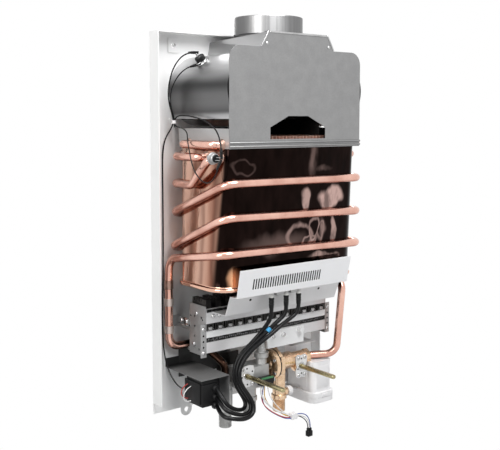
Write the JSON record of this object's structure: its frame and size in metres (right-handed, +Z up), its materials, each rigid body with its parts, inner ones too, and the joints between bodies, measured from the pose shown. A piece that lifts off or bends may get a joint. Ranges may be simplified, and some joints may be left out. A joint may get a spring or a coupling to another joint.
{
  "type": "tankless gas water heater",
  "caption": "Wall-hung tankless gas water heater with its front cover off: flue hood, copper heat exchanger and coil, burner, valves and igniter.",
  "frame": {"origin": "on the rear face of the back panel, on the heater's centre line, 295 mm below its top edge", "axes": "+Z up, -Y out of the wall towards the user, +X to the right as seen from the front"},
  "size_m": [0.34, 0.175, 0.681],
  "materials": {
    "white_enamel": "satin white enamel",
    "galvanised": "brushed galvanised sheet",
    "copper_sheet": "bright lacquered copper sheet",
    "copper_tube": "drawn copper tube",
    "pale_steel": "zinc-plated sheet",
    "burner_steel": "stainless sheet",
    "dark_steel": "stainless burner sheet",
    "cast_alloy": "die-cast alloy",
    "brass": "machined brass",
    "black_plastic": "moulded",
    "black_rubber": "silicone rubber",
    "ceramic": "glazed",
    "white_plastic": "moulded",
    "green_plastic": "moulded",
    "red_wire": "wire sleeving",
    "cell_jacket": "plain metal jacket"
  },
  "bodies": {
    "heater": {"back_plate": "white_enamel", "wall_brackets": "white_enamel", "flue_collar": "galvanised", "hood_body": "galvanised", "hood_front_plate": "galvanised", "hood_skirt": "galvanised", "hood_baffle": "galvanised", "flue_thermostat": "black_plastic", "exchanger_shell": "copper_sheet", "exchanger_fins": "copper_sheet", "exchanger_tubes": "copper_tube", "coil_tube": "copper_tube", "cold_pipe": "copper_tube", "hot_pipe": "copper_tube", "pipe_sleeves": "copper_tube", "overheat_thermostat": "black_plastic", "vent_plate": "pale_steel", "burner_bracket": "pale_steel", "burner_end_plates": "burner_steel", "burner_top_rail": "burner_steel", "burner_lower_panel": "burner_steel", "burner_bars": "dark_steel", "gas_manifold": "cast_alloy", "injectors": "brass", "electrode_insulators": "ceramic", "electrode_rods": "burner_steel", "electrode_boots": "black_rubber", "gas_outlet_tube": "cast_alloy", "gas_valve_body": "cast_alloy", "gas_shaft_plate": "pale_steel", "gas_inlet": "cast_alloy", "water_valve_body": "brass", "diaphragm_cover": "brass", "diaphragm": "black_rubber", "valve_screws": "pale_steel", "water_shaft_plate": "pale_steel", "cold_inlet": "brass", "microswitch": "black_plastic", "hot_outlet": "cast_alloy", "valve_bracket": "pale_steel", "igniter_cover": "pale_steel", "igniter_box": "black_plastic", "battery_box": "white_plastic", "batteries": "cell_jacket", "battery_bracket": "pale_steel", "ignition_lead_left": "black_rubber", "ignition_lead_middle": "black_rubber", "ignition_lead_right": "black_rubber", "thermostat_wire": "black_rubber", "overheat_wire": "black_rubber", "cable_tie": "white_plastic", "loom": "red_wire", "loom_connector": "white_plastic", "loom_plug": "black_plastic"},
    "gas_knob_shaft": {"gas_shaft": "brass"},
    "water_knob_shaft": {"water_shaft": "brass"},
    "valve_rod": {"push_rod": "pale_steel"},
    "switch_button": {"microswitch_button": "green_plastic"},
    "battery_door": {"battery_lid": "white_plastic"},
    "drain_screw": {"drain_knob": "white_plastic"}
  },
  "joints": [
    {"name": "gas_knob_turn", "type": "hinge", "parent": "heater", "child": "gas_knob_shaft", "pos_m": [-0.046, -0.12, -0.25], "axis": [0, -1, 0], "range_deg": [0, 150]},
    {"name": "water_knob_turn", "type": "hinge", "parent": "heater", "child": "water_knob_shaft", "pos_m": [0.07, -0.12, -0.254], "axis": [0, -1, 0], "range_deg": [0, 270]},
    {"name": "valve_rod_slide", "type": "slide", "parent": "heater", "child": "valve_rod", "axis": [-1, 0, 0], "range_m": [0, 0.003], "stiffness_N_per_m": 600},
    {"name": "switch_button_press", "type": "slide", "parent": "heater", "child": "switch_button", "axis": [-1, 0, 0], "range_m": [0, 0.003], "stiffness_N_per_m": 150},
    {"name": "battery_door_hinge", "type": "hinge", "parent": "heater", "child": "battery_door", "pos_m": [0.11, -0.015, -0.312], "axis": [1, 0, 0], "range_deg": [0, 85]},
    {"name": "drain_screw_turn", "type": "hinge", "parent": "heater", "child": "drain_screw", "pos_m": [0.05, -0.072, -0.296], "axis": [1, 0, 0], "range_deg": [0, 360]}
  ],
  "couplings": [
    {"joint": "switch_button_press", "follows": "valve_rod_slide", "ratio": 1}
  ]
}
